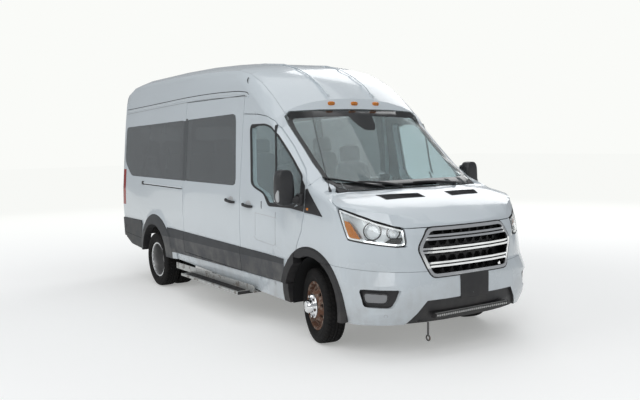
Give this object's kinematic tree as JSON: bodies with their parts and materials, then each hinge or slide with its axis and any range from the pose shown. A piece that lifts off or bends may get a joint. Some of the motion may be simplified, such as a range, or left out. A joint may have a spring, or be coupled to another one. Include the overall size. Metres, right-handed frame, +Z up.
{
  "type": "passenger van",
  "caption": "High-roof passenger van with hinged front doors, sliding side door, split rear doors, dual rear wheels and rows of seats.",
  "frame": {"origin": "centre of the footprint on the ground, under the middle of the bounding box", "axes": "+X to the van's left, +Y to its rear, +Z up; the van faces -Y"},
  "size_m": [2.4694, 6.035, 2.762],
  "materials": {
    "white_paint": "gloss",
    "black_trim": "matt",
    "grey_cladding": "grained matt",
    "tinted_glass": "dark tint",
    "clear_glass": "clear",
    "lamp_lens": "clear",
    "red_lens": "gloss",
    "chrome_trim": "polished",
    "steel": "satin",
    "rusty_steel": "rusted",
    "aluminium": "weathered",
    "tyre_rubber": "matt",
    "seat_fabric": "woven",
    "underbody": "dull, dirty"
  },
  "bodies": {
    "van_body": {"wing_left": "white_paint", "wing_right": "white_paint", "front_bumper": "white_paint", "lower_grille": "black_trim", "fog_lamp_left": "black_trim", "fog_lamp_right": "black_trim", "headlamp_left": "lamp_lens", "headlamp_right": "lamp_lens", "grille": "black_trim", "grille_trim": "chrome_trim", "windscreen": "clear_glass", "roof": "white_paint", "side_left": "white_paint", "side_right": "white_paint", "sliding_door": "white_paint", "sliding_door_glass": "tinted_glass", "side_glass_left": "tinted_glass", "quarter_glass_left": "tinted_glass", "quarter_glass_right": "tinted_glass", "tail_lamp_left": "red_lens", "tail_lamp_right": "red_lens", "rear_bumper": "grey_cladding", "cowl": "black_trim", "floor": "underbody", "cab_floor": "underbody", "frame": "underbody", "front_subframe": "underbody", "engine": "steel", "rear_axle": "underbody", "fuel_tank": "black_trim", "exhaust": "steel", "side_step": "aluminium", "dashboard": "black_trim", "driver_seat": "seat_fabric", "front_passenger_seat": "seat_fabric", "passenger_seats": "seat_fabric"},
    "left_front_door": {"front_door_left": "white_paint", "front_door_glass_left": "clear_glass", "mirror_left": "black_trim"},
    "left_rear_door": {"rear_door_left": "white_paint", "rear_door_glass_left": "tinted_glass"},
    "left_knuckle": {"knuckle_left": "underbody"},
    "left_front_wheel": {"front_rim_left": "rusty_steel", "front_tyre_left": "tyre_rubber"},
    "left_rear_wheels": {"rear_rims_left": "steel", "rear_tyre_outer_left": "tyre_rubber", "rear_tyre_inner_left": "tyre_rubber"},
    "right_front_door": {"front_door_right": "white_paint", "front_door_glass_right": "clear_glass", "mirror_right": "black_trim"},
    "right_rear_door": {"rear_door_right": "white_paint", "rear_door_glass_right": "tinted_glass"},
    "right_knuckle": {"knuckle_right": "underbody"},
    "right_front_wheel": {"front_rim_right": "rusty_steel", "front_tyre_right": "tyre_rubber"},
    "right_rear_wheels": {"rear_rims_right": "steel", "rear_tyre_outer_right": "tyre_rubber", "rear_tyre_inner_right": "tyre_rubber"},
    "hood_lid": {"hood": "white_paint"},
    "hand_wheel": {"steering_wheel": "black_trim"}
  },
  "joints": [
    {"name": "left_front_door_hinge", "type": "hinge", "parent": "van_body", "child": "left_front_door", "pos_m": [1.031, -1.9145, 1.2], "axis": [0, 0, -1], "range_deg": [0, 68]},
    {"name": "right_front_door_hinge", "type": "hinge", "parent": "van_body", "child": "right_front_door", "pos_m": [-1.031, -1.9145, 1.2], "axis": [0, 0, 1], "range_deg": [0, 68]},
    {"name": "left_rear_door_hinge", "type": "hinge", "parent": "van_body", "child": "left_rear_door", "pos_m": [0.885, 2.9555, 1.6], "axis": [0, 0, -1], "range_deg": [0, 180]},
    {"name": "right_rear_door_hinge", "type": "hinge", "parent": "van_body", "child": "right_rear_door", "pos_m": [-0.885, 2.9555, 1.6], "axis": [0, 0, 1], "range_deg": [0, 180]},
    {"name": "hood_hinge", "type": "hinge", "parent": "van_body", "child": "hood_lid", "pos_m": [0, -2.1445, 1.412], "axis": [-1, 0, 0], "range_deg": [0, 50]},
    {"name": "left_steering_pivot", "type": "hinge", "parent": "van_body", "child": "left_knuckle", "pos_m": [0.75, -1.9945, 0.347], "axis": [0, 0, 1], "range_deg": [-22, 48]},
    {"name": "right_steering_pivot", "type": "hinge", "parent": "van_body", "child": "right_knuckle", "pos_m": [-0.75, -1.9945, 0.347], "axis": [0, 0, 1], "range_deg": [-22, 48]},
    {"name": "left_front_wheel_spin", "type": "hinge", "parent": "left_knuckle", "child": "left_front_wheel", "pos_m": [0.86303, -2.02059, 0.347], "axis": [0.9744, -0.225, 0], "continuous": true},
    {"name": "right_front_wheel_spin", "type": "hinge", "parent": "right_knuckle", "child": "right_front_wheel", "pos_m": [-0.86303, -1.96841, 0.347], "axis": [0.9744, -0.225, 0], "continuous": true},
    {"name": "left_rear_wheels_spin", "type": "hinge", "parent": "van_body", "child": "left_rear_wheels", "pos_m": [0.8245, 1.7555, 0.347], "axis": [1, 0, 0], "continuous": true},
    {"name": "right_rear_wheels_spin", "type": "hinge", "parent": "van_body", "child": "right_rear_wheels", "pos_m": [-0.8245, 1.7555, 0.347], "axis": [1, 0, 0], "continuous": true},
    {"name": "steering_wheel_turn", "type": "hinge", "parent": "van_body", "child": "hand_wheel", "pos_m": [0.395, -1.4045, 1.19], "axis": [0, 0.5736, 0.8192], "range_deg": [-308, 672]}
  ],
  "couplings": [
    {"joint": "right_steering_pivot", "follows": "left_steering_pivot", "ratio": 1},
    {"joint": "steering_wheel_turn", "follows": "left_steering_pivot", "ratio": 14}
  ]
}
